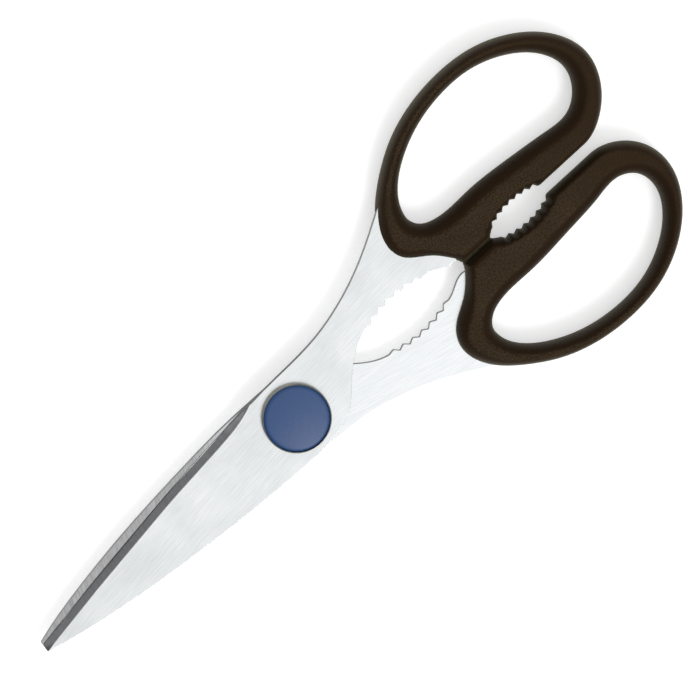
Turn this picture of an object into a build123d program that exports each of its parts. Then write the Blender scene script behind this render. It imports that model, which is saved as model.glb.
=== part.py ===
from build123d import *
import math
import os

# Kitchen shears in millimetres. +X runs from the pivot to the handles, +Y to the handle of the front half,
# and +Z up from the table. The origin is on the pivot axis, at the table.
# The front half and the back half are one shape, turned half a turn about the long axis.
# Each is modelled above the plane where the two halves meet, with its blade on -X and its handle on +Y.

# Whole object
handle_thickness = 10.4
blade_thickness = 2.5
blade_gap = 0.1
overrun = 2.0

# What the back half has and the front half lacks: its loop lies nearer the pivot, its bow drops towards the
# end, its opening lies further along and leaves a thicker bar, and its shank is a little wider
stagger = 4.0
stagger_rise = 15.0
back_bow_drop_share = 0.048
back_bar_extra = 1.1
back_opening_shift = 0.5
back_shank_extra = 0.6

# Blade
blade_length = 87.3
blade_half_width = 11.0
edge_root_share = 0.069
edge_root_height_share = 0.94
spine_shares = (
    (1.0, 0.11),
    (0.916, 0.281),
    (0.8, 0.461),
    (0.63, 0.664),
    (0.4, 0.848),
    (0.2, 0.955),
    (0.0, 0.995),
)
edge_shares = (
    (1.0, 0.046),
    (0.916, 0.154),
    (0.8, 0.302),
    (0.63, 0.49),
    (0.4, 0.724),
    (0.2, 0.88),
)

# Ground bevel
bevel_width = 1.8
edge_land = 0.15
edge_bevel_width = 0.2
edge_bevel_height = 0.55
bevel_entry_share = 0.25
wheel_radius = 35.0
runout_start = 18.0
runout_shares = (0.667, 0.333, 0.0)

# Heel and nutcracker jaw
heel_shares = (
    (0.095, -0.948),
    (0.263, -0.872),
    (0.439, -0.636),
    (0.614, -0.189),
    (0.754, 0.130),
    (0.877, 0.335),
)
jaw_mid = 38.8
jaw_half_gap = 6.0
jaw_radius = 31.0
jaw_end_half_gap = 2.45
jaw_exit_shares = ((0.23, 0.68), (0.5, 0.46))
jaw_tooth_pitch = 2.97
jaw_tooth_depth = 0.9
jaw_valley_shares = (0.8, 0.7)
jaw_tooth_count = 6
jaw_tooth_rounding = 0.35

# Shank outside and tang
shank_length = 54.0
shank_reach = 27.3
flare_shares = (
    (1.0, 1.0),
    (0.833, 0.67),
    (0.648, 0.365),
    (0.463, 0.153),
    (0.278, 0.028),
    (0.09, -0.017),
)
tang_inner_shares = (
    (0.114, 0.624),
    (0.106, 0.524),
    (0.1, 0.46),
    (0.113, 0.379),
    (0.154, 0.304),
    (0.21, 0.259),
)
tongue_length = 31.0
tongue_bottom = 5.7
tongue_top = 9.3
tongue_hole_radius = 1.1
tongue_hole_spacing = 9.0
tongue_hole_count = 3

# Handle outline, as shares of its length and reach, with the flank's width as a share of flank_width
# and, in the opening, the back bar's extra thickness as a share of back_bar_extra
handle_front = 45.9
handle_length = 72.0
handle_reach = 40.7
flank_width = 3.0
outline_shares = (
    (0.147, 0.080, 0.6),
    (0.103, 0.167, 0.8),
    (0.020, 0.286, 0.95),
    (0.003, 0.399, 0.95),
    (0.037, 0.560, 0.85),
    (0.141, 0.743, 0.62),
    (0.273, 0.887, 0.56),
    (0.411, 0.967, 0.55),
    (0.550, 0.995, 0.55),
    (0.703, 0.969, 0.55),
    (0.856, 0.851, 0.6),
    (0.953, 0.690, 0.7),
    (1.0, 0.466, 0.8),
    (0.967, 0.264, 0.8),
    (0.879, 0.103, 0.7),
)
opening_shares = (
    (0.131, 0.469, 1.25, 0.0),
    (0.150, 0.564, 1.05, 0.0),
    (0.196, 0.663, 0.85, 0.0),
    (0.272, 0.758, 0.78, 0.0),
    (0.383, 0.843, 0.74, 0.0),
    (0.522, 0.888, 0.72, 0.0),
    (0.647, 0.878, 0.74, 0.0),
    (0.772, 0.797, 0.85, 0.0),
    (0.869, 0.653, 1.0, 0.0),
    (0.904, 0.486, 1.1, 0.0),
    (0.873, 0.344, 1.15, 0.1),
    (0.800, 0.256, 1.17, 0.6),
    (0.703, 0.260, 1.2, 0.8),
    (0.550, 0.293, 1.35, 0.6),
    (0.356, 0.318, 1.3, 0.5),
    (0.203, 0.327, 1.25, 0.5),
    (0.150, 0.372, 1.25, 0.4),
)
crest_angle = 79
opening_end_angle = 84
level_shares = (-1.0, -0.7, -0.36, 0.0, 0.36, 0.7, 1.0)

# Tooth gaps of both jaws
notch_half_share = 0.42

# Stop and gripper, on the side where the handles meet
stop_start = 58.2
stop_end = 67.5
stop_half_gap = 0.15
stop_lean_share = 0.35
stop_crest_shares = (0.8, 0.4)
bar_half_gap = 1.55
bar_end_share = 0.772
gap_flank = 1.6
stop_flank = 2.1
gripper_flank = 2.2
gripper_mid = 77.8
gripper_radius = 20.8
gripper_half_gap = 3.25
grip_tooth_pitch = 2.28
grip_tooth_depth = 1.0
grip_tooth_count = 7
grip_tooth_rounding = 0.2

# Pivot
head_radius = 8.95
head_height = 2.35
head_clearance = 0.08
rim_width = 0.25
rim_chamfer_width = 0.15
rim_chamfer_height = 0.3
cap_thickness = 1.1
cap_crown = 0.2
cap_rounding = 0.9
cap_ring_width = 1.2
cap_clearance = 0.02
shoulder_radius = 3.2
running_clearance = 0.05
thread_radius = 2.5
thread_clearance = 0.03
thread_length = 4.0
neck_side = 8.0
neck_clearance = 0.02
nut_radius = 7.5
nut_chamfer = 0.5
spanner_hole_radius = 0.8
spanner_hole_depth = 1.0
spanner_hole_offset = 5.0
washer_thickness = 0.25
washer_inner_radius = 3.5
washer_outer_radius = 6.4
washer_rise = 0.15
washer_pocket_radius = 6.8

# Heights from the plane where the halves meet
half_thickness = handle_thickness / 2
face_low = blade_gap / 2
face_high = face_low + blade_thickness


def handle_point(along_share, across_share, back):
    """A point of a handle's outline. The back handle leans towards the pivot, and its bow drops."""
    height = handle_reach * across_share
    along = handle_front + handle_length * along_share
    if back:
        along -= stagger * (1 - math.exp(-((height / stagger_rise) ** 2)))
        height -= height * back_bow_drop_share * along_share**2
    return Vector(along, height)


def side_normals(points, closed, side):
    """Unit normals of a run of points, to the left of its direction for side 1."""
    count = len(points)
    normals = []
    for index in range(count):
        before = points[index - 1] if closed or index > 0 else points[index]
        after = points[(index + 1) % count] if closed or index < count - 1 else points[index]
        along = (after - before).normalized()
        normals.append(Vector(-along.Y, along.X) * side)
    return normals


def chord_parameters(points, closed):
    """Lengths along the points, so that the curves of all levels share their spacing."""
    lengths = [0]
    following = points[1:] + points[:1] if closed else points[1:]
    for start, end in zip(points, following):
        lengths.append(lengths[-1] + (end - start).length)
    return lengths


def blade_point(along_share, across_share, side):
    """A point of the blade's outline: side 1 is the cutting edge and side -1 the spine."""
    return (-blade_length * along_share, blade_half_width * across_share * side)


def jaw_point(x):
    """A point of the arc through the tips of the nutcracker teeth."""
    drop = jaw_radius - math.sqrt(jaw_radius**2 - (x - jaw_mid) ** 2)
    return (x, jaw_half_gap - drop)


def blade_outline(back):
    """Outline of one steel half: spine, heel, jaw, tang, outside of the shank and cutting edge."""
    spine = [blade_point(along, across, -1) for along, across in spine_shares]
    first_tip = jaw_mid - jaw_tooth_pitch * jaw_tooth_count / 2
    last_tip = jaw_mid + jaw_tooth_pitch * jaw_tooth_count / 2
    first_gap = first_tip - jaw_tooth_pitch / 2
    last_gap = last_tip + jaw_tooth_pitch / 2
    first_valley = (first_gap, jaw_point(first_gap)[1] + jaw_tooth_depth * jaw_valley_shares[0])
    last_valley = (last_gap, jaw_point(last_gap)[1] + jaw_tooth_depth * jaw_valley_shares[1])
    heel = [(first_gap * along, blade_half_width * across) for along, across in heel_shares]
    mouth = (stop_start, jaw_end_half_gap)
    exit_length = stop_start - last_gap
    jaw_exit = []
    for along, across in jaw_exit_shares:
        jaw_exit.append((last_gap + exit_length * along, jaw_half_gap * across))
    tongue_end = stop_start + tongue_length
    tongue_radius = (tongue_top - tongue_bottom) / 2
    tongue_root = stop_start + tongue_bottom
    inner = [handle_point(along, across, back) for along, across in tang_inner_shares]
    shift = stagger if back else 0
    extra = back_shank_extra if back else 0
    shank = []
    for along, flare in flare_shares:
        height = blade_half_width + (shank_reach - blade_half_width) * flare
        height += extra * (1 - along**4)
        shank.append((shank_length * along - shift * math.sqrt(along), height))
    edge_root = blade_point(edge_root_share, edge_root_height_share, 1)
    edge = [blade_point(along, across, 1) for along, across in reversed(edge_shares)]
    tip_low = spine[0]
    tip_high = edge[-1]

    lines = [
        Spline(spine),
        Spline([spine[-1]] + heel + [first_valley]),
        Line(first_valley, jaw_point(first_tip)),
        ThreePointArc(jaw_point(first_tip), jaw_point(jaw_mid), jaw_point(last_tip)),
        Line(jaw_point(last_tip), last_valley),
        Spline([last_valley] + jaw_exit + [mouth]),
        Polyline(mouth, (tongue_root, tongue_bottom), (tongue_end, tongue_bottom)),
        ThreePointArc(
            (tongue_end, tongue_bottom),
            (tongue_end + tongue_radius, tongue_bottom + tongue_radius),
            (tongue_end, tongue_top),
        ),
        Polyline((tongue_end, tongue_top), (tongue_root, tongue_top), inner[-1]),
        Spline(list(reversed(inner))),
        Line(inner[0], shank[0]),
        Spline(shank + [edge_root]),
        Spline([edge_root] + edge),
        Line(tip_high, tip_low),
    ]
    edges = [edge for line in lines for edge in line.edges()]
    return make_face(edges)


def notches(arc_mid, arc_height, radius, pitch, depth, count, rounding):
    """Tooth gaps along an arc whose highest point is at arc_mid and arc_height."""
    half = pitch * notch_half_share
    profile = Polygon((-half, 0), (-half, -depth), (half, -depth), (half, 0), (0, depth), align=None)
    profile = fillet(profile.vertices().sort_by(Axis.Y)[-1], rounding)
    cutter = extrude(profile, handle_thickness, both=True)
    centre = Pos(arc_mid, arc_height - radius)
    step = math.degrees(pitch / radius)
    cutters = []
    for index in range(count):
        turn = step * (index - (count - 1) / 2)
        cutters.append(centre * Rot(0, 0, -turn) * Pos(0, radius) * cutter)
    return cutters


def bevel_cutter():
    """Grinding path of the bevel: along the cutting edge, then lifting off as the wheel's radius."""
    points = [blade_point(along, across, 1) for along, across in edge_shares]
    tip_x, tip_y = points[0]
    last_x, last_y = points[-1]
    root_x, root_y = blade_point(edge_root_share, edge_root_height_share, 1)
    entry = (tip_x - overrun, tip_y - bevel_width * bevel_entry_share)
    for share in runout_shares:
        x = -runout_start * share
        lift = (x + runout_start) ** 2 / (2 * wheel_radius)
        points.append((x, last_y + (x - last_x) * (root_y - last_y) / (root_x - last_x) + lift))
    path = Spline([entry] + points)
    start = path @ 0
    along = path % 0
    section_plane = Plane(origin=start, x_dir=(-along.Y, along.X, 0), z_dir=along)
    slope = (bevel_width - edge_bevel_width) / (blade_thickness - edge_bevel_height)
    section = Polygon(
        (0, face_low + edge_land),
        (-edge_bevel_width, face_low + edge_bevel_height),
        (-bevel_width, face_high),
        (-bevel_width - slope * overrun, face_high + overrun),
        (overrun * 2, face_high + overrun),
        (overrun * 2, face_low + edge_land),
        align=None,
    )
    return sweep(section_plane * section, path)


def steel_half(back, hole):
    """One steel half: stamped outline, jaw teeth, pivot hole, holes in the tongue and ground bevel."""
    steel = extrude(Pos(0, 0, face_low) * blade_outline(back), blade_thickness)
    steel -= notches(
        jaw_mid, jaw_half_gap, jaw_radius, jaw_tooth_pitch, jaw_tooth_depth, jaw_tooth_count,
        jaw_tooth_rounding,
    )
    steel -= hole
    first_hole = stop_start + tongue_length
    key = extrude(Circle(tongue_hole_radius), handle_thickness, both=True)
    for index in range(tongue_hole_count):
        steel -= Pos(first_hole - tongue_hole_spacing * index, (tongue_bottom + tongue_top) / 2) * key
    return steel - bevel_cutter()


def flank_share(angle):
    """How much of the flank's width is gone at an angle round the flank's quarter ellipse."""
    return (1 - math.cos(math.radians(angle))) / (1 - math.cos(math.radians(crest_angle)))


def flank_level(angle):
    """Height of that angle from the widest level, which is half way up."""
    return half_thickness * math.sin(math.radians(angle)) / math.sin(math.radians(crest_angle))


def outer_ring(angle, back):
    """The handle's outer wire at one level. Angle 0 is the widest level."""
    share = flank_share(angle)

    def between(low, high):
        return low + (high - low) * share

    outline = [handle_point(along, across, back) for along, across, flank in outline_shares]
    stop_front = Vector(stop_start, stop_half_gap)
    stop_front_crest = stop_front + Vector(stop_flank * stop_crest_shares[0], stop_flank)
    stop_back = Vector(stop_end, stop_half_gap)
    stop_back_crest = stop_back + Vector(-stop_flank * stop_crest_shares[1], stop_flank)
    bar_end = Vector(handle_front + handle_length * bar_end_share, bar_half_gap)
    bar_end_crest = bar_end + Vector(0, gap_flank)
    run = [stop_front] + outline + [bar_end]
    normals = side_normals(run, False, -1)
    points = [between(stop_front, stop_front_crest)]
    for index, row in enumerate(outline_shares):
        points.append(outline[index] + normals[index + 1] * flank_width * row[2] * share)
    points.append(between(bar_end, bar_end_crest))

    radius = gripper_radius + gripper_flank * share
    centre_height = gripper_half_gap - gripper_radius
    gap_height = bar_half_gap + gap_flank * share
    half_arc = math.sqrt(radius**2 - (gap_height - centre_height) ** 2)
    gripper_end = Vector(gripper_mid + half_arc, gap_height)
    gripper_start = Vector(gripper_mid - half_arc, gap_height)
    gripper_top = Vector(gripper_mid, centre_height + radius)
    stop_corner = between(stop_back, stop_back_crest)
    tangents = [Vector(-stop_lean_share, 1).normalized(), Vector(-1, 0)]
    curve = Edge.make_spline(
        points, tangents=tangents, parameters=chord_parameters(run, False), scale=False
    )
    edges = [
        curve,
        Line(points[-1], gripper_end),
        ThreePointArc(gripper_end, gripper_top, gripper_start),
        Line(gripper_start, stop_corner),
        Line(stop_corner, points[0]),
    ]
    return Pos(0, 0, flank_level(angle)) * Wire([edge.edge() for edge in edges])


def opening_ring(angle, back):
    """The finger opening's wire at one level, which flares out to the crest."""
    share = flank_share(angle)
    run = []
    for along, across, flank, extra in opening_shares:
        point = handle_point(along, across, back)
        if back:
            point += Vector(back_opening_shift, back_bar_extra * extra)
        run.append(point)
    normals = side_normals(run, True, 1)
    points = []
    for index, row in enumerate(opening_shares):
        points.append(run[index] + normals[index] * flank_width * row[2] * share)
    curve = Edge.make_spline(points, periodic=True, parameters=chord_parameters(run, True))
    return Pos(0, 0, flank_level(angle)) * Wire([curve])


def moulded_handle(back, tang):
    """One handle: a rounded loop with a flat crest, gripper teeth and a pocket filled by the tang."""
    body = Solid.make_loft([outer_ring(crest_angle * share, back) for share in level_shares])
    body -= Solid.make_loft([opening_ring(opening_end_angle * share, back) for share in level_shares])
    body -= notches(
        gripper_mid, gripper_half_gap, gripper_radius, grip_tooth_pitch, grip_tooth_depth, grip_tooth_count,
        grip_tooth_rounding,
    )
    return body - tang


def turned(radius_heights):
    """A solid of revolution about the pivot axis from a closed run of radius and height pairs."""
    return revolve(Plane.XZ * Polygon(*radius_heights, align=None), Axis.Z)


def pivot_screw():
    """The screw: dished head over the washer, shoulder in the front half and plain thread in the nut."""
    low = face_high + head_clearance
    high = low + head_height
    pocket = low + washer_thickness + washer_rise
    floor = high - cap_thickness
    head = turned(
        (
            (0, pocket),
            (washer_pocket_radius, pocket),
            (washer_pocket_radius, low),
            (head_radius, low),
            (head_radius, high - rim_chamfer_height),
            (head_radius - rim_chamfer_width, high),
            (head_radius - rim_width, high),
            (head_radius - rim_width, floor),
            (0, floor),
        )
    )
    shoulder = Pos(0, 0, -face_low) * extrude(Circle(shoulder_radius), pocket + face_low)
    thread = Pos(0, 0, -face_low - thread_length) * extrude(Circle(thread_radius), thread_length)
    return head + shoulder + thread


def pivot_cap():
    """The disc pressed into the dished head, with a rounded edge and a slight crown."""
    floor = face_high + head_clearance + head_height - cap_thickness
    radius = head_radius - rim_width - cap_clearance
    disc = Pos(0, 0, floor) * extrude(Circle(radius), cap_thickness)
    disc = fillet(disc.edges().group_by(Axis.Z)[-1], cap_rounding)
    flat_radius = radius - cap_ring_width
    crown_radius = flat_radius**2 / (2 * cap_crown) + cap_crown / 2
    crown = Pos(0, 0, floor + cap_thickness + cap_crown - crown_radius) * Sphere(crown_radius)
    crown &= Pos(0, 0, floor + cap_thickness / 2) * extrude(Circle(flat_radius), cap_thickness)
    return disc + crown


def spring_washer():
    """The dished washer between the head and the front half. It is wider and lower at its rim."""
    low = face_high + blade_gap / 2
    return turned(
        (
            (washer_inner_radius, low + washer_rise),
            (washer_outer_radius, low),
            (washer_outer_radius, low + washer_thickness),
            (washer_inner_radius, low + washer_rise + washer_thickness),
        )
    )


def pivot_nut():
    """The nut on the back: flat flange with two spanner holes, and a square neck in the back half."""
    flange = Pos(0, 0, -half_thickness) * extrude(Circle(nut_radius), half_thickness - face_high)
    flange = chamfer(flange.edges().group_by(Axis.Z)[0], nut_chamfer)
    neck = Pos(0, 0, -face_high) * extrude(Rectangle(neck_side, neck_side), blade_thickness)
    nut = flange + neck
    bore = thread_radius + thread_clearance
    nut -= Pos(0, 0, -face_low - thread_length) * extrude(Circle(bore), thread_length * 2)
    for side in (-1, 1):
        place = Pos(spanner_hole_offset * side, 0, -half_thickness)
        nut -= place * extrude(Circle(spanner_hole_radius), spanner_hole_depth)
    return nut


round_hole = extrude(Circle(shoulder_radius + running_clearance), handle_thickness, both=True)
square_side = neck_side + neck_clearance * 2
square_hole = extrude(Rectangle(square_side, square_side), handle_thickness, both=True)

front_steel = steel_half(False, round_hole)
back_steel = steel_half(True, square_hole)
front_grip = moulded_handle(False, front_steel)
back_grip = moulded_handle(True, back_steel)

lift = Pos(0, 0, half_thickness)
turn_over = Rot(180, 0, 0)
nodes = {
    "front_blade": lift * front_steel,
    "back_blade": lift * turn_over * back_steel,
    "upper_handle": lift * front_grip,
    "lower_handle": lift * turn_over * back_grip,
    "pivot_screw": lift * pivot_screw(),
    "pivot_cap": lift * pivot_cap(),
    "spring_washer": lift * spring_washer(),
    "pivot_nut": lift * pivot_nut(),
}

os.makedirs("parts", exist_ok=True)
for name, solid in nodes.items():
    export_step(solid, f"parts/{name}.step")
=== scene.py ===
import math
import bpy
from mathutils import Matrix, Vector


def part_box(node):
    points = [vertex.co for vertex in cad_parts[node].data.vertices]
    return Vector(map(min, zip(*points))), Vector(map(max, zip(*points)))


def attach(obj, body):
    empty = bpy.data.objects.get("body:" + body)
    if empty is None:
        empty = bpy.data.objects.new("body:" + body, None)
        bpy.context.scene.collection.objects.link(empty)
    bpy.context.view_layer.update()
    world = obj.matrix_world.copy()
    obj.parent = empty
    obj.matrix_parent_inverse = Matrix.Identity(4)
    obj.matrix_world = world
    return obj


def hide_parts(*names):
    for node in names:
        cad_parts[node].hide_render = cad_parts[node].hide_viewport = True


bl_info = {
    "name": "Kitchen shears",
    "version": (1, 0, 0),
    "blender": (4, 5, 0),
    "location": "View3D > Sidebar > Shears",
    "description": "Kitchen shears of sheet steel with moulded handles, lying closed on a pale table",
    "category": "Object",
}

import bmesh
import bpy
from bpy.props import FloatProperty, FloatVectorProperty, IntProperty, PointerProperty, StringProperty
from mathutils import Matrix, Vector

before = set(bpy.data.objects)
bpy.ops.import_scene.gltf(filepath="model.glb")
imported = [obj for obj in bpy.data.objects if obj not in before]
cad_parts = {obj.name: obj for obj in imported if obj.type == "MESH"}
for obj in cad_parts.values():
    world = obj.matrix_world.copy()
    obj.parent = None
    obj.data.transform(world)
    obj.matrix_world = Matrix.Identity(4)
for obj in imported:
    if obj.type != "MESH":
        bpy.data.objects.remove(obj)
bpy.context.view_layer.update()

MM = 0.001
WELD = 0.0005 * MM

# A face of the steel whose normal has less rise than a wall's is a wall, and with more than a flat's it's flat
WALL_RISE = 0.2
FLAT_RISE = 0.999
FLAT_SPREAD = math.radians(0.4)
STEEL_CREASE = math.radians(35)
CAP_CREASE = math.radians(40)

# Along X, where the outline beside the pivot is eased, and its least distance from the X axis
HEEL_SPAN = (-20 * MM, 24 * MM)
HEEL_SIDE = 7.5 * MM
# The cutting edge's wall starts ahead of the pivot, and faces this much to its side
EDGE_START = -4 * MM
EDGE_FACING = 0.3
# Walls are painted darker up to the first distance from the pivot, and not from the second: painted shade for the
# table's shadow that they reflect there
SHADE_SPAN = (14 * MM, 26 * MM)
# The inner face is belt-finished as far as the first place along X, and ground from the second
GROUND_SPAN = (-2 * MM, -26 * MM)

# The closing stop's length along X, the ends' run-out and the depth of its upright face
STOP_SPAN = (57 * MM, 69.5 * MM)
STOP_FADE = 2 * MM
STOP_DEPTH = 0.4 * MM
# The box round the jar gripper's teeth, along X and to each side of the X axis
TEETH_SPAN = (69 * MM, 87 * MM)
TEETH_SIDE = 5.2 * MM
# The handles' crests carry a painted highlight as far as the first place along X, and a fainter one from the second
HIGHLIGHT_SPAN = (84 * MM, 104 * MM)

CAP_STEPS = 128
# Elevations that the ceiling's light starts from and is full at
SKY_RISE = (math.radians(28), math.radians(58))

# The jar gripper's arcs, as in the part's source
GRIP_MID = 77.8 * MM
GRIP_RADIUS = 20.8 * MM
GRIP_HALF_GAP = 3.25 * MM
GRIP_FLANK = 2.2 * MM
GRIP_PITCH = 2.28 * MM
GRIP_DEPTH = 0.8 * MM
GRIP_TEETH = 7
CREST_ANGLE = math.radians(79)

# The two steel halves meet half way up the handles
meeting_height = (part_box("upper_handle")[0].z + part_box("upper_handle")[1].z) / 2
crest_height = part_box("upper_handle")[1].z - meeting_height


def linear(hex_colour):
    """An sRGB hex colour as linear red, green, blue and alpha."""
    channels = [int(hex_colour[i : i + 2], 16) / 255 for i in (1, 3, 5)]
    levels = [c / 12.92 if c <= 0.04045 else ((c + 0.055) / 1.055) ** 2.4 for c in channels]
    return (*levels, 1.0)


class BladeSettings(bpy.types.PropertyGroup):
    """Sizes and colours of the two sheet steel halves."""

    edge_round: FloatProperty(
        name="Edge rounding", description="Width of the broken edges", default=0.1 * MM, unit="LENGTH"
    )
    edge_polish: FloatProperty(
        name="Bevel's edge", description="Width of the bright line along the bevel", default=0.18 * MM, unit="LENGTH"
    )
    face_colour: StringProperty(name="Face", description="Satin face of the sheet", default="#DBDDDE")
    inner_colour: StringProperty(name="Inner face", description="Cross-ground face by the edge", default="#A5A5A6")
    bevel_colour: StringProperty(name="Bevel", description="Ground bevel", default="#7E7F81")
    # This paler steel is partly a polished edge and partly a painted highlight along the bevel
    edge_highlight_colour: StringProperty(name="Edge", description="Polished line along the bevel", default="#F2F3F3")
    # This darker grey is partly painted shade, for the table's shadow that the walls reflect
    wall_and_shade_colour: StringProperty(name="Wall", description="Stamped walls of the sheet", default="#6A6A68")
    # This near black is painted shade, for the shadows that the walls by the pivot and under the cutting edge reflect
    wall_shade_colour: StringProperty(
        name="Wall shade", description="Painted shade on the walls by the pivot and under the cutting edge", default="#262625"
    )
    front_grain: FloatProperty(
        name="Front grain", description="Turn of the brush lines", default=math.radians(5), subtype="ANGLE"
    )
    back_grain: FloatProperty(
        name="Back grain", description="Turn of the brush lines", default=math.radians(-13), subtype="ANGLE"
    )
    front_heel: FloatProperty(
        name="Front heel",
        description="How far the front heel's outline is eased out",
        default=0.35 * MM,
        unit="LENGTH",
    )
    back_heel: FloatProperty(
        name="Back heel",
        description="How far the back heel's outline is eased in",
        default=-0.5 * MM,
        unit="LENGTH",
    )


class HandleSettings(bpy.types.PropertyGroup):
    """Sizes and colours of the moulded handles."""

    colour: StringProperty(name="Colour", description="Black moulded plastic", default="#1D1108")
    # This paler colour is a painted highlight on the crests, for their gloss under the ceiling
    crest_highlight_colour: StringProperty(name="Crest highlight", description="Plastic on the crests", default="#3D3125")
    sheen_colour: StringProperty(name="Sheen", description="Tint of the plastic's gloss", default="#FFD9A8")
    rim_colour: StringProperty(name="Rim", description="Grain seen at a slant", default="#B6B68C")
    grain: FloatProperty(
        name="Grain", description="Size of the mould's fine grain", default=0.4 * MM, unit="LENGTH"
    )
    voxel: FloatProperty(
        name="Mesh size", description="Size of the rounded mesh's faces", default=0.2 * MM, unit="LENGTH"
    )
    rounding: IntProperty(name="Rounding", description="Times that the crests are smoothed", default=13)
    kept: FloatProperty(name="Kept share", description="Share of the rounded mesh's faces that stays", default=0.5)
    stop_slope: FloatProperty(
        name="Stop slope", description="Width of the slopes beside the closing stop", default=3.4 * MM, unit="LENGTH"
    )
    stop_land: FloatProperty(
        name="Stop land", description="Half height of the stop's upright face", default=2.2 * MM, unit="LENGTH"
    )


class PivotSettings(bpy.types.PropertyGroup):
    """Sizes and colours of the pivot's pieces."""

    cap_colour: StringProperty(name="Cap", description="Blue moulded plastic", default="#184479")
    # This dark olive is partly painted shade, for the shaded wall of the screw's head
    steel_and_shade_colour: StringProperty(name="Steel", description="Turned steel", default="#77746A")
    ring_width: FloatProperty(
        name="Ring width", description="Width of the cap's rounded shoulder", default=1.15 * MM, unit="LENGTH"
    )
    ring_drop: FloatProperty(
        name="Ring drop", description="Height of the cap's rounded shoulder", default=0.5 * MM, unit="LENGTH"
    )
    crown: FloatProperty(
        name="Crown", description="Height of the middle over the shoulder", default=0.42 * MM, unit="LENGTH"
    )


class StageSettings(bpy.types.PropertyGroup):
    """The table, the lights and the camera."""

    floor_colour: StringProperty(name="Floor", description="White table", default="#E8E8E8")
    floor_lift: FloatProperty(name="Floor lift", description="How much paler the table is seen", default=0.46)
    floor_size: FloatProperty(name="Floor size", description="Side of the table", default=30.0, unit="LENGTH")
    low_sky: FloatProperty(name="Low sky", description="Light from the room's walls", default=0.38)
    high_sky: FloatProperty(name="High sky", description="Light from the white ceiling", default=1.14)
    sky_lean: FloatProperty(
        name="Sky lean", description="Lean of the bright sky to -Y", default=math.radians(14), subtype="ANGLE"
    )
    softbox_power: FloatProperty(name="Softbox", description="Power of the light in watts", default=28.0)
    softbox_size: FloatProperty(name="Softbox size", description="Side of the light", default=0.95, unit="LENGTH")
    softbox_distance: FloatProperty(
        name="Softbox distance", description="Distance of the light", default=3.0, unit="LENGTH"
    )
    softbox_turn: FloatProperty(
        name="Softbox turn", description="Turn of the light from -Y to -X", default=math.radians(12), subtype="ANGLE"
    )
    softbox_lean: FloatProperty(
        name="Softbox lean", description="Lean of the light from overhead", default=math.radians(32), subtype="ANGLE"
    )
    lens: FloatProperty(name="Lens", description="Camera's focal length in millimetres", default=200.0)
    frame_width: FloatProperty(
        name="Frame width", description="Width of the picture at the object", default=179.4 * MM, unit="LENGTH"
    )
    middle: FloatVectorProperty(
        name="Middle",
        description="Point at the picture's middle",
        default=(21.81 * MM, 3.08 * MM),
        size=2,
        unit="LENGTH",
    )
    tilt: FloatProperty(
        name="Tilt", description="Camera's lean towards +Y", default=math.radians(9.65), subtype="ANGLE"
    )
    turn: FloatProperty(
        name="Turn",
        description="Angle of +X above the picture's horizontal",
        default=math.radians(42.5),
        subtype="ANGLE",
    )


def add_node(tree, kind, settings, inputs):
    """Adds a shader node with its settings, and sets or links its inputs."""
    node = tree.nodes.new(kind)
    for name, value in settings.items():
        setattr(node, name, value)
    for name, value in inputs.items():
        if isinstance(value, bpy.types.NodeSocket):
            tree.links.new(value, node.inputs[name])
        else:
            node.inputs[name].default_value = value
    return node


def start_material(name):
    """A new material with an empty tree and an object coordinate."""
    material = bpy.data.materials.new(name)
    material.use_nodes = True
    tree = material.node_tree
    tree.nodes.clear()
    place = add_node(tree, "ShaderNodeTexCoord", {}, {}).outputs["Object"]
    return material, tree, place


def brush_marks(tree, place, turn, length, width):
    """Noise drawn out along a direction in the table's plane. Length and width are one mark's real size."""
    laid = add_node(
        tree,
        "ShaderNodeMapping",
        {"vector_type": "TEXTURE"},
        {"Vector": place, "Rotation": (0, 0, turn), "Scale": (length, width, length)},
    )
    return add_node(
        tree, "ShaderNodeTexNoise", {}, {"Vector": laid.outputs[0], "Scale": 1.0, "Detail": 3.0, "Roughness": 0.6}
    ).outputs["Fac"]


def shaded(tree, base, factor, low, high, dark):
    """The base colour, multiplied by a dark tint where the factor is low and left as it is where it's high."""
    share = add_node(tree, "ShaderNodeMapRange", {}, {"Value": factor, "From Min": low, "From Max": high})
    tint = add_node(
        tree,
        "ShaderNodeMix",
        {"data_type": "RGBA"},
        {0: share.outputs[0], 6: linear(dark), 7: linear("#FFFFFF")},
    )
    return add_node(
        tree, "ShaderNodeMix", {"data_type": "RGBA", "blend_type": "MULTIPLY"}, {0: 1.0, 6: base, 7: tint.outputs[2]}
    ).outputs[2]


def end_metal(tree, base, height, depth, roughness):
    """Ends a metal's tree with its relief, shader and output."""
    relief = add_node(tree, "ShaderNodeBump", {}, {"Height": height, "Strength": 1.0, "Distance": depth})
    shader = add_node(
        tree,
        "ShaderNodeBsdfPrincipled",
        {},
        {"Base Color": base, "Metallic": 1.0, "Roughness": roughness, "Normal": relief.outputs[0]},
    )
    add_node(tree, "ShaderNodeOutputMaterial", {}, {"Surface": shader.outputs[0]})


def satin_steel(name, colour, turn):
    """Stainless sheet, finished on a belt: fine short lines along the blade, and a soft bright sheen."""
    material, tree, place = start_material(name)
    fine = brush_marks(tree, place, turn, 7 * MM, 0.26 * MM)
    cloud = add_node(
        tree, "ShaderNodeTexNoise", {}, {"Vector": place, "Scale": 1 / (12 * MM), "Detail": 3.0}
    ).outputs["Fac"]
    base = shaded(tree, linear(colour), fine, 0.35, 0.65, "#F3F4F4")
    base = shaded(tree, base, cloud, 0.35, 0.65, "#F3F4F4")
    # Belt scratches are a fraction of a micron deep
    end_metal(tree, base, fine, 0.0004 * MM, 0.2)
    return material


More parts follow.
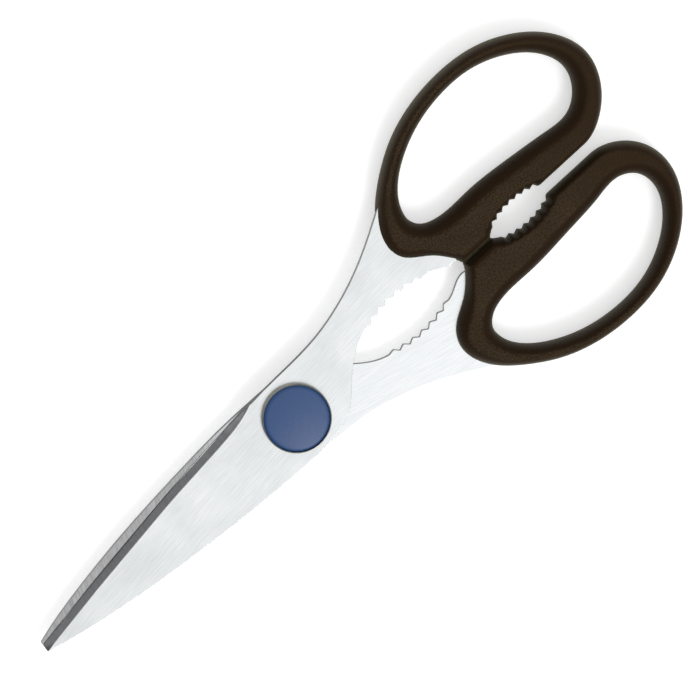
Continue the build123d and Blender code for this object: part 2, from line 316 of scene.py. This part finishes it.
def inner_steel(name, colour, ground_colour, turn):
    """The face the halves rub on: belt-finished by the pivot, and ground crosswise towards the tip."""
    material, tree, place = start_material(name)
    belt = brush_marks(tree, place, turn, 7 * MM, 0.26 * MM)
    # The grinding wheel leaves marks half a millimetre apart, at a slant to the edge
    wheel = brush_marks(tree, place, math.radians(62), 5 * MM, 0.45 * MM)
    satin = shaded(tree, linear(colour), belt, 0.3, 0.7, "#F0F1F2")
    ground = shaded(tree, linear(ground_colour), wheel, 0.35, 0.65, "#D8D8D8")
    along = add_node(tree, "ShaderNodeSeparateXYZ", {}, {"Vector": place}).outputs["X"]
    toward_tip = add_node(
        tree, "ShaderNodeMapRange", {}, {"Value": along, "From Min": GROUND_SPAN[0], "From Max": GROUND_SPAN[1]}
    )
    base = add_node(
        tree, "ShaderNodeMix", {"data_type": "RGBA"}, {0: toward_tip.outputs[0], 6: satin, 7: ground}
    ).outputs[2]
    end_metal(tree, base, wheel, 0.001 * MM, 0.22)
    return material


def ground_steel(name, colour, turn, spacing, contrast, painted_shade=None):
    """Stainless ground on a wheel: straight marks in one direction and a duller, darker face. Given a second dark
    colour, it adds painted shade near the pivot.
    """
    material, tree, place = start_material(name)
    marks = brush_marks(tree, place, turn, 4 * MM, spacing)
    base = shaded(tree, linear(colour), marks, 0.35, 0.65, contrast)
    if painted_shade:
        # Painted shade: darker near the pivot
        off = add_node(tree, "ShaderNodeVectorMath", {"operation": "LENGTH"}, {0: place}).outputs["Value"]
        base = shaded(tree, base, off, *SHADE_SPAN, painted_shade)
    end_metal(tree, base, marks, 0.002 * MM, 0.4)
    return material


def turned_steel(name, colour):
    """Steel turned on a lathe: rings round the pivot axis."""
    material, tree, place = start_material(name)
    split = add_node(tree, "ShaderNodeSeparateXYZ", {}, {"Vector": place})
    flat = add_node(tree, "ShaderNodeCombineXYZ", {}, {"X": split.outputs["X"], "Y": split.outputs["Y"]})
    radius = add_node(tree, "ShaderNodeVectorMath", {"operation": "LENGTH"}, {0: flat.outputs[0]})
    # One ring for each 0.12 mm of the tool's feed
    rings = add_node(
        tree,
        "ShaderNodeTexNoise",
        {"noise_dimensions": "1D"},
        {"W": radius.outputs["Value"], "Scale": 1 / (0.12 * MM), "Detail": 1.0},
    ).outputs["Fac"]
    base = shaded(tree, linear(colour), rings, 0.3, 0.7, "#E4E4E4")
    end_metal(tree, base, rings, 0.002 * MM, 0.35)
    return material


def moulded_black(name, look):
    """Glass-filled nylon from a spark-eroded mould: near black, with a dull grain, and a painted highlight in a paler
    colour on its crests.
    """
    material, tree, place = start_material(name)
    pits = add_node(
        tree, "ShaderNodeTexNoise", {}, {"Vector": place, "Scale": 1 / look.grain, "Detail": 2.0, "Roughness": 0.7}
    ).outputs["Fac"]
    patches = add_node(
        tree, "ShaderNodeTexNoise", {}, {"Vector": place, "Scale": 1 / (9 * MM), "Detail": 2.0}
    ).outputs["Fac"]
    split = add_node(tree, "ShaderNodeSeparateXYZ", {}, {"Vector": place})
    off = add_node(tree, "ShaderNodeMath", {"operation": "SUBTRACT"}, {0: split.outputs["Z"], 1: meeting_height})
    off = add_node(tree, "ShaderNodeMath", {"operation": "ABSOLUTE"}, {0: off.outputs[0]})
    # The grain makes the painted highlight's border ragged
    ragged = add_node(
        tree, "ShaderNodeMath", {"operation": "MULTIPLY_ADD"}, {0: pits, 1: 0.6 * MM, 2: off.outputs[0]}
    )
    highlight_share = add_node(
        tree,
        "ShaderNodeMapRange",
        {"interpolation_type": "SMOOTHSTEP"},
        {"Value": ragged.outputs[0], "From Min": crest_height - 0.1 * MM, "From Max": crest_height + 0.3 * MM},
    )
    # The painted highlight is fainter on the bows than on the straight parts
    highlight_fade = add_node(
        tree,
        "ShaderNodeMapRange",
        {},
        {
            "Value": split.outputs["X"],
            "From Min": HIGHLIGHT_SPAN[0],
            "From Max": HIGHLIGHT_SPAN[1],
            "To Min": 1.0,
            "To Max": 0.35,
        },
    )
    highlight_share = add_node(tree, "ShaderNodeMath", {"operation": "MULTIPLY"}, {0: highlight_share.outputs[0], 1: highlight_fade.outputs[0]})
    # Painted highlight: the crests' paler colour stands in for their gloss under the ceiling
    crest = shaded(tree, linear(look.crest_highlight_colour), pits, 0.38, 0.62, "#5E5A53")
    crest = shaded(tree, crest, patches, 0.3, 0.7, "#D0D0CE")
    base = add_node(
        tree,
        "ShaderNodeMix",
        {"data_type": "RGBA"},
        {0: highlight_share.outputs[0], 6: linear(look.colour), 7: crest},
    ).outputs[2]
    dull = add_node(tree, "ShaderNodeMapRange", {}, {"Value": pits, "To Min": 0.52, "To Max": 0.74})
    relief = add_node(tree, "ShaderNodeBump", {}, {"Height": pits, "Strength": 1.0, "Distance": 0.05 * MM})
    shader = add_node(
        tree,
        "ShaderNodeBsdfPrincipled",
        {},
        {
            "Base Color": base,
            "Roughness": dull.outputs[0],
            "IOR": 1.5,
            "Specular IOR Level": 0.2,
            "Specular Tint": linear(look.sheen_colour),
            "Sheen Weight": 0.35,
            "Sheen Roughness": 0.35,
            "Sheen Tint": linear(look.rim_colour),
            "Normal": relief.outputs[0],
        },
    )
    add_node(tree, "ShaderNodeOutputMaterial", {}, {"Surface": shader.outputs[0]})
    return material


def cap_plastic(name, colour):
    """Blue ABS from a finely blasted mould: even colour with a soft sheen."""
    material, tree, place = start_material(name)
    grain = add_node(
        tree, "ShaderNodeTexNoise", {}, {"Vector": place, "Scale": 1 / (0.35 * MM), "Detail": 2.0}
    ).outputs["Fac"]
    base = shaded(tree, linear(colour), grain, 0.3, 0.7, "#DCDCE2")
    relief = add_node(tree, "ShaderNodeBump", {}, {"Height": grain, "Strength": 1.0, "Distance": 0.012 * MM})
    shader = add_node(
        tree,
        "ShaderNodeBsdfPrincipled",
        {},
        {"Base Color": base, "Roughness": 0.42, "IOR": 1.54, "Normal": relief.outputs[0]},
    )
    add_node(tree, "ShaderNodeOutputMaterial", {}, {"Surface": shader.outputs[0]})
    return material


def table_white(name, colour, lift):
    """Matt white laminate. The camera and mirrors see it paler than it is, so that its shadows stay light."""
    material, tree, place = start_material(name)
    fleck = add_node(
        tree, "ShaderNodeTexNoise", {}, {"Vector": place, "Scale": 1 / (40 * MM), "Detail": 2.0}
    ).outputs["Fac"]
    base = shaded(tree, linear(colour), fleck, 0.3, 0.7, "#FCFCFC")
    paint = add_node(tree, "ShaderNodeBsdfDiffuse", {}, {"Color": base})
    path = add_node(tree, "ShaderNodeLightPath", {}, {})
    seen = add_node(
        tree,
        "ShaderNodeMath",
        {"operation": "MAXIMUM"},
        {0: path.outputs["Is Camera Ray"], 1: path.outputs["Is Glossy Ray"]},
    )
    seen = add_node(
        tree, "ShaderNodeMath", {"operation": "MAXIMUM"}, {0: seen.outputs[0], 1: path.outputs["Is Transmission Ray"]}
    )
    strength = add_node(tree, "ShaderNodeMath", {"operation": "MULTIPLY"}, {0: seen.outputs[0], 1: lift})
    glow = add_node(tree, "ShaderNodeEmission", {}, {"Strength": strength.outputs[0]})
    both = add_node(tree, "ShaderNodeAddShader", {}, {0: paint.outputs[0], 1: glow.outputs[0]})
    add_node(tree, "ShaderNodeOutputMaterial", {}, {"Surface": both.outputs[0]})
    return material


def merged_copy(node):
    """A bmesh of a CAD node with its loose triangles joined and its flat faces whole."""
    work = bmesh.new()
    work.from_mesh(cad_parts[node].data)
    bmesh.ops.remove_doubles(work, verts=work.verts[:], dist=WELD)
    return work


def whole_faces(work):
    """Joins the triangles of each flat face."""
    bmesh.ops.dissolve_limit(
        work,
        angle_limit=FLAT_SPREAD,
        use_dissolve_boundaries=False,
        verts=work.verts[:],
        edges=work.edges[:],
        delimit=set(),
    )


def place_piece(work, name, materials, body, nodes):
    """Makes an object of a bmesh, which rides on a body and stands for the named CAD nodes."""
    mesh = bpy.data.meshes.new(name)
    work.to_mesh(mesh)
    work.free()
    for material in materials:
        mesh.materials.append(material)
    piece = bpy.data.objects.new(name, mesh)
    bpy.context.scene.collection.objects.link(piece)
    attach(piece, body)
    if nodes:
        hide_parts(*nodes)
    return piece


def smooth_by_area(piece, crease):
    """Smooth shading that leaves large flat faces flat and edges sharper than the crease angle sharp."""
    piece.data.shade_smooth()
    piece.data.set_sharp_from_angle(angle=crease)
    modifier = piece.modifiers.new("Weighted normals", "WEIGHTED_NORMAL")
    modifier.keep_sharp = True
    modifier.weight = 60


def edges_between(work, first, second):
    """The edges where a face of one material meets a face of another."""
    found = []
    for edge in work.edges:
        if {face.material_index for face in edge.link_faces} == {first, second}:
            found.append(edge)
    return found


def break_edges(work, edges, width, material):
    """Rounds the edges off. The new faces get the material, or their neighbours' if it's -1."""
    bmesh.ops.bevel(
        work,
        geom=edges,
        offset=width,
        offset_type="OFFSET",
        segments=2,
        profile=0.5,
        affect="EDGES",
        clamp_overlap=False,
        material=material,
    )


def ease_heel(work, shift):
    """Moves the outline beside the pivot on the +Y side a little, and fades out along the blade and the shank."""
    start, end = HEEL_SPAN
    for vert in work.verts:
        if vert.co.y > HEEL_SIDE and start < vert.co.x < end:
            share = (vert.co.x - start) / (end - start)
            vert.co.y += shift * math.sin(math.pi * share) ** 2


# Places of the materials on a steel half
FACE, INNER, BEVEL, EDGE, WALL, EDGE_SHADE = range(6)


class SHEARS_OT_blades(bpy.types.Operator):
    """Finishes the two stamped and ground steel halves"""

    bl_idname = "shears.blades"
    bl_label = "Steel halves"

    def execute(self, context):
        look = context.scene.shears_blades
        bevel = ground_steel("Bevel ground stainless", look.bevel_colour, math.radians(80), 0.3 * MM, "#E4E4E4")
        edge = ground_steel("Polished stainless edge with painted highlight", look.edge_highlight_colour, 0, 0.3 * MM, "#F4F4F4")
        wall = ground_steel("Stamped stainless wall", look.wall_and_shade_colour, 0, 0.4 * MM, "#DDDDDD", look.wall_shade_colour)
        edge_shade = ground_steel("Painted shade on the cutting edge's wall", look.wall_shade_colour, 0, 0.4 * MM, "#DDDDDD")
        for node, body, turn, shift in (
            ("front_blade", "front_half", look.front_grain, look.front_heel),
            ("back_blade", "back_half", look.back_grain, look.back_heel),
        ):
            face = satin_steel(f"Satin stainless, {node}", look.face_colour, turn)
            inner = inner_steel(f"Cross-ground stainless, {node}", look.face_colour, look.inner_colour, turn)
            work = merged_copy(node)
            whole_faces(work)
            ease_heel(work, shift)
            work.normal_update()
            inner_side = -1 if node == "front_blade" else 1  # Down or up, and the way from its edge to its spine
            for f in work.faces:
                if abs(f.normal.z) < WALL_RISE:
                    f.material_index = WALL
                elif abs(f.normal.z) < FLAT_RISE:
                    f.material_index = BEVEL
                elif f.normal.z * inner_side > 0:
                    f.material_index = INNER
                else:
                    f.material_index = FACE
            break_edges(work, edges_between(work, FACE, WALL), look.edge_round, -1)
            # The bevel's edge gets paler steel: partly polish, partly painted highlight
            break_edges(work, edges_between(work, FACE, BEVEL), look.edge_polish, EDGE)
            # Painted shade: the wall under the cutting edge gets the near black colour, which draws the dark line of
            # the edge's shadow and its reflection on the back half
            for f in work.faces:
                at_edge = f.normal.y * inner_side < -EDGE_FACING and f.calc_center_median().x < EDGE_START
                if f.material_index == WALL and at_edge:
                    f.material_index = EDGE_SHADE
            piece = place_piece(
                work, f"{node}_sheet", [face, inner, bevel, edge, wall, edge_shade], body, [node]
            )
            smooth_by_area(piece, STEEL_CREASE)
        return {"FINISHED"}


def slope_stop(work, width, land):
    """Gives the closing stop an upright land, and widens its slopes from there up to the crests."""
    start, end = STOP_SPAN
    beside = [v for v in work.verts if start < v.co.x < end]
    gap = min(abs(v.co.y) for v in beside)
    for vert in beside:
        across = abs(vert.co.y) - gap
        off = vert.co.z - meeting_height
        inside = min(1, (vert.co.x - start) / STOP_FADE, (end - vert.co.x) / STOP_FADE)
        if across < STOP_DEPTH and abs(off) < land:
            vert.co.y = math.copysign(gap + across * (1 - inside), vert.co.y)
        elif across < width:
            limit = land + (crest_height - land) * math.sqrt(1 - (1 - across / width) ** 2)
            if abs(off) > limit:
                vert.co.z += (math.copysign(limit, off) - off) * inside


def ridge_gripper(work):
    """Carries the gripper's tooth gaps on up its sloping walls, shallower towards the crests."""
    step = GRIP_PITCH / GRIP_RADIUS
    for vert in work.verts:
        side = math.copysign(1, vert.co.y)
        reach = Vector((vert.co.x - GRIP_MID, side * vert.co.y - GRIP_HALF_GAP + GRIP_RADIUS))
        turn = math.atan2(reach.x, reach.y)
        level = abs(vert.co.z - meeting_height) / crest_height
        if level > 0.99 or abs(turn) > step * GRIP_TEETH / 2 or abs(vert.co.y) > GRIP_HALF_GAP * 2:
            continue
        gap_share = 1 - abs((turn / step + 0.5) % 1 * 2 - 1)
        climb = math.asin(level * math.sin(CREST_ANGLE))
        slope = GRIP_FLANK * (1 - math.cos(climb)) / (1 - math.cos(CREST_ANGLE))
        wall = GRIP_RADIUS + slope + GRIP_DEPTH * gap_share * (1 - level**4)
        if reach.length < wall:
            reach *= wall / reach.length
            vert.co.x = GRIP_MID + reach.x
            vert.co.y = side * (reach.y + GRIP_HALF_GAP - GRIP_RADIUS)


def modified_mesh(piece, context):
    """Takes the modifiers off a piece and returns a new mesh with their effect."""
    mesh = bpy.data.meshes.new_from_object(piece.evaluated_get(context.evaluated_depsgraph_get()))
    piece.modifiers.clear()
    return mesh


class SHEARS_OT_handles(bpy.types.Operator):
    """Finishes the two moulded handles"""

    bl_idname = "shears.handles"
    bl_label = "Moulded handles"

    def execute(self, context):
        look = context.scene.shears_handles
        black = moulded_black("Black moulded nylon", look)
        for node, body in (("upper_handle", "front_half"), ("lower_handle", "back_half")):
            piece = place_piece(merged_copy(node), f"{node}_moulding", [black], body, [node])
            remesh = piece.modifiers.new("Even mesh", "REMESH")
            remesh.mode = "VOXEL"
            remesh.voxel_size = look.voxel
            even = modified_mesh(piece, context)
            work = bmesh.new()
            work.from_mesh(even)
            slope_stop(work, look.stop_slope, look.stop_land)
            ridge_gripper(work)
            work.to_mesh(even)
            work.free()
            piece.data = even
            # The gripper's teeth stay crisp
            crests = piece.vertex_groups.new(name="crests")
            start, end = TEETH_SPAN
            soft = [v.index for v in even.vertices if not start < v.co.x < end or abs(v.co.y) >= TEETH_SIDE]
            crests.add(soft, 1.0, "REPLACE")
            soften = piece.modifiers.new("Rounded crests", "SMOOTH")
            soften.factor = 0.5
            soften.iterations = look.rounding
            soften.vertex_group = crests.name
            thin = piece.modifiers.new("Fewer faces", "DECIMATE")
            thin.ratio = look.kept
            whole = modified_mesh(piece, context)
            piece.vertex_groups.clear()
            whole.name = f"{node}_moulding"
            piece.data = whole
            whole.shade_smooth()
        return {"FINISHED"}


class SHEARS_OT_pivot_cap(bpy.types.Operator):
    """Spins the plastic cap in the screw's dished head"""

    bl_idname = "shears.pivot_cap"
    bl_label = "Pivot cap"

    def execute(self, context):
        look = context.scene.shears_pivot
        low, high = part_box("pivot_cap")
        radius = (high.x - low.x) / 2
        rim = high.z - look.crown
        profile = [(0, low.z), (radius, low.z)]
        # The shoulder lies between a cone and a quarter of an ellipse
        for degrees in range(0, 91, 10):
            angle = math.radians(degrees)
            across = radius - look.ring_width * (1 - math.cos(angle) ** 1.5)
            profile.append((across, rim - look.ring_drop * (1 - math.sin(angle) ** 1.5)))
        profile += [(radius * 0.55, high.z - look.crown * 0.3), (0, high.z)]
        work = bmesh.new()
        ends = [work.verts.new((x, 0, z)) for x, z in profile]
        lines = [work.edges.new(pair) for pair in zip(ends, ends[1:])]
        bmesh.ops.spin(
            work,
            geom=ends + lines,
            cent=(0, 0, 0),
            axis=(0, 0, 1),
            angle=2 * math.pi,
            steps=CAP_STEPS,
            use_merge=True,
            use_duplicate=False,
        )
        bmesh.ops.remove_doubles(work, verts=work.verts[:], dist=WELD)
        bmesh.ops.recalc_face_normals(work, faces=work.faces[:])
        blue = cap_plastic("Blue moulded plastic", look.cap_colour)
        piece = place_piece(work, "pivot_cap_disc", [blue], "back_half", ["pivot_cap"])
        smooth_by_area(piece, CAP_CREASE)
        return {"FINISHED"}


class SHEARS_OT_pivot_steel(bpy.types.Operator):
    """Finishes the pivot's screw, washer and nut"""

    bl_idname = "shears.pivot_steel"
    bl_label = "Pivot screw, washer and nut"

    def execute(self, context):
        look = context.scene.shears_pivot
        # The pivot's steel is darkened: partly painted shade on the screw head's wall
        steel = turned_steel("Turned steel", look.steel_and_shade_colour)
        for node in ("pivot_screw", "pivot_nut"):
            work = merged_copy(node)
            whole_faces(work)
            piece = place_piece(work, f"{node}_turned", [steel], "back_half", [node])
            smooth_by_area(piece, STEEL_CREASE)
        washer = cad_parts["spring_washer"]
        washer.data.materials.clear()
        washer.data.materials.append(steel)
        return {"FINISHED"}


def aim(item, place, back, right):
    """Puts a camera or lamp at a place, looking against the back direction."""
    upward = back.cross(right)
    turn = Matrix((right, upward, back)).transposed()
    item.matrix_world = Matrix.Translation(place) @ turn.to_4x4()


class SHEARS_OT_stage(bpy.types.Operator):
    """Adds the table, the lights and the camera"""

    bl_idname = "shears.stage"
    bl_label = "Table, lights and camera"

    def execute(self, context):
        look = context.scene.shears_stage
        scene = context.scene
        work = bmesh.new()
        bmesh.ops.create_grid(work, x_segments=1, y_segments=1, size=look.floor_size / 2)
        mesh = bpy.data.meshes.new("table")
        work.to_mesh(mesh)
        work.free()
        mesh.materials.append(table_white("White table", look.floor_colour, look.floor_lift))
        table = bpy.data.objects.new("table", mesh)
        scene.collection.objects.link(table)

        target = Vector((*look.middle, meeting_height))
        back = Vector((0, math.sin(look.tilt), math.cos(look.tilt)))
        along = Vector((1, 0, 0))
        across = back.cross(along)
        right = along * math.cos(look.turn) - across * math.sin(look.turn)
        camera_data = bpy.data.cameras.new("camera")
        camera_data.lens = look.lens
        distance = look.frame_width * look.lens / camera_data.sensor_width
        camera_data.clip_start = distance / 100
        camera_data.clip_end = distance * 100
        camera = bpy.data.objects.new("camera", camera_data)
        scene.collection.objects.link(camera)
        aim(camera, target + back * distance, back, right)
        scene.camera = camera

        lamp_data = bpy.data.lights.new("softbox", "AREA")
        lamp_data.shape = "SQUARE"
        lamp_data.size = look.softbox_size
        lamp_data.energy = look.softbox_power
        lamp = bpy.data.objects.new("softbox", lamp_data)
        scene.collection.objects.link(lamp)
        side = Vector((-math.sin(look.softbox_turn), -math.cos(look.softbox_turn), 0))
        up = side * math.sin(look.softbox_lean) + Vector((0, 0, math.cos(look.softbox_lean)))
        aim(lamp, target + up * look.softbox_distance, up, up.cross(side).normalized())

        # A white ceiling over darker walls
        world = bpy.data.worlds.new("room")
        scene.world = world
        world.use_nodes = True
        tree = world.node_tree
        tree.nodes.clear()
        direction = add_node(tree, "ShaderNodeTexCoord", {}, {}).outputs["Generated"]
        height = add_node(
            tree,
            "ShaderNodeVectorMath",
            {"operation": "DOT_PRODUCT"},
            {0: direction, 1: (0, -math.sin(look.sky_lean), math.cos(look.sky_lean))},
        ).outputs["Value"]
        strength = add_node(
            tree,
            "ShaderNodeMapRange",
            {"interpolation_type": "SMOOTHSTEP"},
            {
                "Value": height,
                "From Min": math.sin(SKY_RISE[0]),
                "From Max": math.sin(SKY_RISE[1]),
                "To Min": look.low_sky,
                "To Max": look.high_sky,
            },
        )
        # The ceiling is a little brighter over the handles
        aside = add_node(tree, "ShaderNodeSeparateXYZ", {}, {"Vector": direction}).outputs["X"]
        over = add_node(
            tree,
            "ShaderNodeMapRange",
            {},
            {"Value": aside, "From Min": -0.15, "From Max": 0.1, "To Min": 0.86, "To Max": 1.14},
        )
        both = add_node(
            tree, "ShaderNodeMath", {"operation": "MULTIPLY"}, {0: strength.outputs[0], 1: over.outputs[0]}
        )
        sky = add_node(tree, "ShaderNodeBackground", {}, {"Color": linear("#FFFFFF"), "Strength": both.outputs[0]})
        add_node(tree, "ShaderNodeOutputWorld", {}, {"Surface": sky.outputs[0]})
        scene.view_settings.view_transform = "Standard"
        return {"FINISHED"}


class SHEARS_PT_panel(bpy.types.Panel):
    """The steps that build the shears"""

    bl_idname = "SHEARS_PT_panel"
    bl_label = "Kitchen shears"
    bl_space_type = "VIEW_3D"
    bl_region_type = "UI"
    bl_category = "Shears"

    def draw(self, context):
        for operator in operators:
            self.layout.operator(operator.bl_idname)


settings_groups = {
    "shears_blades": BladeSettings,
    "shears_handles": HandleSettings,
    "shears_pivot": PivotSettings,
    "shears_stage": StageSettings,
}
operators = (
    SHEARS_OT_blades,
    SHEARS_OT_handles,
    SHEARS_OT_pivot_cap,
    SHEARS_OT_pivot_steel,
    SHEARS_OT_stage,
)
classes = (*settings_groups.values(), *operators, SHEARS_PT_panel)


def register():
    for each in classes:
        bpy.utils.register_class(each)
    for name, group in settings_groups.items():
        setattr(bpy.types.Scene, name, PointerProperty(type=group))


def unregister():
    for name in settings_groups:
        delattr(bpy.types.Scene, name)
    for each in reversed(classes):
        bpy.utils.unregister_class(each)


def main():
    register()
    bpy.ops.shears.blades()
    bpy.ops.shears.handles()
    bpy.ops.shears.pivot_cap()
    bpy.ops.shears.pivot_steel()
    bpy.ops.shears.stage()


if __name__ == "__main__":
    main()
